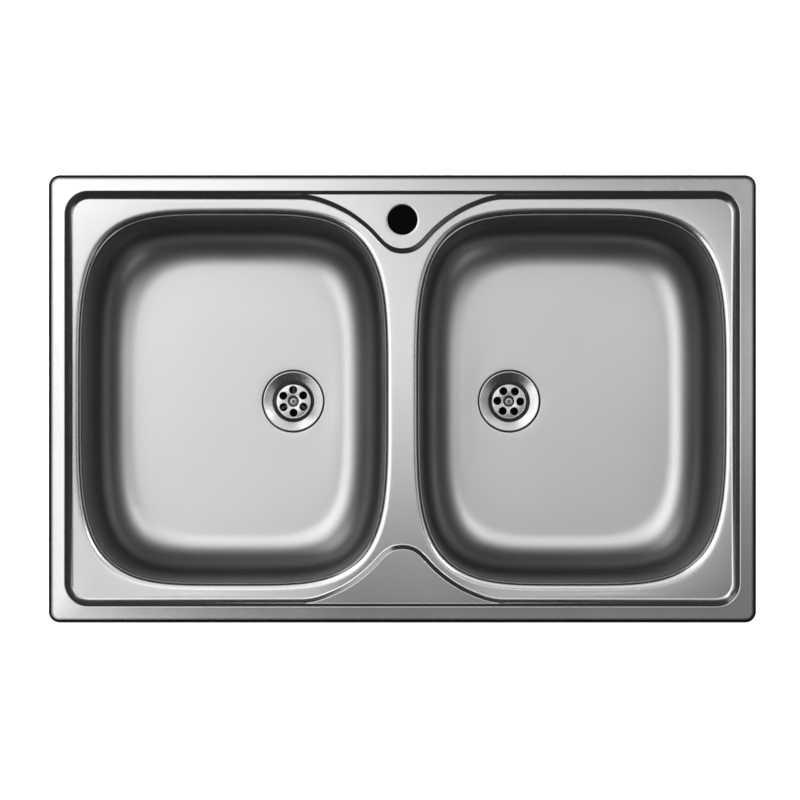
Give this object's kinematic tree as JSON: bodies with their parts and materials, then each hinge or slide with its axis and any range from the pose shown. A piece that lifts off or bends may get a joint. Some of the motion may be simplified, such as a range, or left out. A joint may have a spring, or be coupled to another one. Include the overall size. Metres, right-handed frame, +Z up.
{
  "type": "double bowl kitchen sink",
  "caption": "Inset stainless steel kitchen sink with two deep rounded bowls, a stepped rim, a tap ledge with a tap hole, strainer wastes and swinging worktop clamps.",
  "frame": {"origin": "centre of the rim's outline, on the plane of the worktop's surface that the rim lies on", "axes": "+X right, along the long side; +Y to the rear, towards the tap ledge; +Z up out of the bowls"},
  "size_m": [0.79, 0.5, 0.234],
  "materials": {
    "deck_steel": "satin brushed",
    "bowl_steel": "satin, fine grain",
    "strainer_steel": "polished stainless",
    "screw_steel": "polished stainless",
    "clamp_zinc": "zinc plated, dull",
    "nut_brass": "machined",
    "seal_rubber": "matte",
    "rim_foam": "closed-cell foam",
    "bitumen": "matte, pressed grain",
    "waste_plastic": "moulded"
  },
  "bodies": {
    "sink": {"deck_panel": "deck_steel", "left_bowl": "bowl_steel", "left_sound_pad": "bitumen", "left_strainer": "strainer_steel", "left_waste_screw": "screw_steel", "left_flange_seal": "seal_rubber", "left_body_seal": "seal_rubber", "left_waste_body": "waste_plastic", "left_insert_nut": "nut_brass", "right_bowl": "bowl_steel", "right_sound_pad": "bitumen", "right_strainer": "strainer_steel", "right_waste_screw": "screw_steel", "right_flange_seal": "seal_rubber", "right_body_seal": "seal_rubber", "right_waste_body": "waste_plastic", "right_insert_nut": "nut_brass", "rim_seal": "rim_foam", "tap_plate": "clamp_zinc", "rear_clamp_1_lug": "clamp_zinc", "rear_clamp_2_lug": "clamp_zinc", "rear_clamp_3_lug": "clamp_zinc", "rear_clamp_4_lug": "clamp_zinc", "front_clamp_1_lug": "clamp_zinc", "front_clamp_2_lug": "clamp_zinc", "front_clamp_3_lug": "clamp_zinc", "front_clamp_4_lug": "clamp_zinc"},
    "rear_clamp_1_screw": {"rear_clamp_1_screw": "clamp_zinc"},
    "rear_clamp_1_claw": {"rear_clamp_1_claw": "clamp_zinc"},
    "rear_clamp_2_screw": {"rear_clamp_2_screw": "clamp_zinc"},
    "rear_clamp_2_claw": {"rear_clamp_2_claw": "clamp_zinc"},
    "rear_clamp_3_screw": {"rear_clamp_3_screw": "clamp_zinc"},
    "rear_clamp_3_claw": {"rear_clamp_3_claw": "clamp_zinc"},
    "rear_clamp_4_screw": {"rear_clamp_4_screw": "clamp_zinc"},
    "rear_clamp_4_claw": {"rear_clamp_4_claw": "clamp_zinc"},
    "front_clamp_1_screw": {"front_clamp_1_screw": "clamp_zinc"},
    "front_clamp_1_claw": {"front_clamp_1_claw": "clamp_zinc"},
    "front_clamp_2_screw": {"front_clamp_2_screw": "clamp_zinc"},
    "front_clamp_2_claw": {"front_clamp_2_claw": "clamp_zinc"},
    "front_clamp_3_screw": {"front_clamp_3_screw": "clamp_zinc"},
    "front_clamp_3_claw": {"front_clamp_3_claw": "clamp_zinc"},
    "front_clamp_4_screw": {"front_clamp_4_screw": "clamp_zinc"},
    "front_clamp_4_claw": {"front_clamp_4_claw": "clamp_zinc"}
  },
  "joints": [
    {"name": "rear_clamp_1_lift", "type": "slide", "parent": "sink", "child": "rear_clamp_1_screw", "axis": [0, 0, 1], "range_m": [0, 0.012]},
    {"name": "rear_clamp_1_swing", "type": "hinge", "parent": "rear_clamp_1_screw", "child": "rear_clamp_1_claw", "pos_m": [-0.3, 0.226, -0.046], "axis": [0, 0, 1], "range_deg": [0, 90]},
    {"name": "rear_clamp_2_lift", "type": "slide", "parent": "sink", "child": "rear_clamp_2_screw", "axis": [0, 0, 1], "range_m": [0, 0.012]},
    {"name": "rear_clamp_2_swing", "type": "hinge", "parent": "rear_clamp_2_screw", "child": "rear_clamp_2_claw", "pos_m": [-0.095, 0.226, -0.046], "axis": [0, 0, 1], "range_deg": [0, 90]},
    {"name": "rear_clamp_3_lift", "type": "slide", "parent": "sink", "child": "rear_clamp_3_screw", "axis": [0, 0, 1], "range_m": [0, 0.012]},
    {"name": "rear_clamp_3_swing", "type": "hinge", "parent": "rear_clamp_3_screw", "child": "rear_clamp_3_claw", "pos_m": [0.095, 0.226, -0.046], "axis": [0, 0, 1], "range_deg": [0, 90]},
    {"name": "rear_clamp_4_lift", "type": "slide", "parent": "sink", "child": "rear_clamp_4_screw", "axis": [0, 0, 1], "range_m": [0, 0.012]},
    {"name": "rear_clamp_4_swing", "type": "hinge", "parent": "rear_clamp_4_screw", "child": "rear_clamp_4_claw", "pos_m": [0.3, 0.226, -0.046], "axis": [0, 0, 1], "range_deg": [0, 90]},
    {"name": "front_clamp_1_lift", "type": "slide", "parent": "sink", "child": "front_clamp_1_screw", "axis": [0, 0, 1], "range_m": [0, 0.012]},
    {"name": "front_clamp_1_swing", "type": "hinge", "parent": "front_clamp_1_screw", "child": "front_clamp_1_claw", "pos_m": [-0.3, -0.226, -0.046], "axis": [0, 0, 1], "range_deg": [0, 90]},
    {"name": "front_clamp_2_lift", "type": "slide", "parent": "sink", "child": "front_clamp_2_screw", "axis": [0, 0, 1], "range_m": [0, 0.012]},
    {"name": "front_clamp_2_swing", "type": "hinge", "parent": "front_clamp_2_screw", "child": "front_clamp_2_claw", "pos_m": [-0.095, -0.226, -0.046], "axis": [0, 0, 1], "range_deg": [0, 90]},
    {"name": "front_clamp_3_lift", "type": "slide", "parent": "sink", "child": "front_clamp_3_screw", "axis": [0, 0, 1], "range_m": [0, 0.012]},
    {"name": "front_clamp_3_swing", "type": "hinge", "parent": "front_clamp_3_screw", "child": "front_clamp_3_claw", "pos_m": [0.095, -0.226, -0.046], "axis": [0, 0, 1], "range_deg": [0, 90]},
    {"name": "front_clamp_4_lift", "type": "slide", "parent": "sink", "child": "front_clamp_4_screw", "axis": [0, 0, 1], "range_m": [0, 0.012]},
    {"name": "front_clamp_4_swing", "type": "hinge", "parent": "front_clamp_4_screw", "child": "front_clamp_4_claw", "pos_m": [0.3, -0.226, -0.046], "axis": [0, 0, 1], "range_deg": [0, 90]}
  ]
}
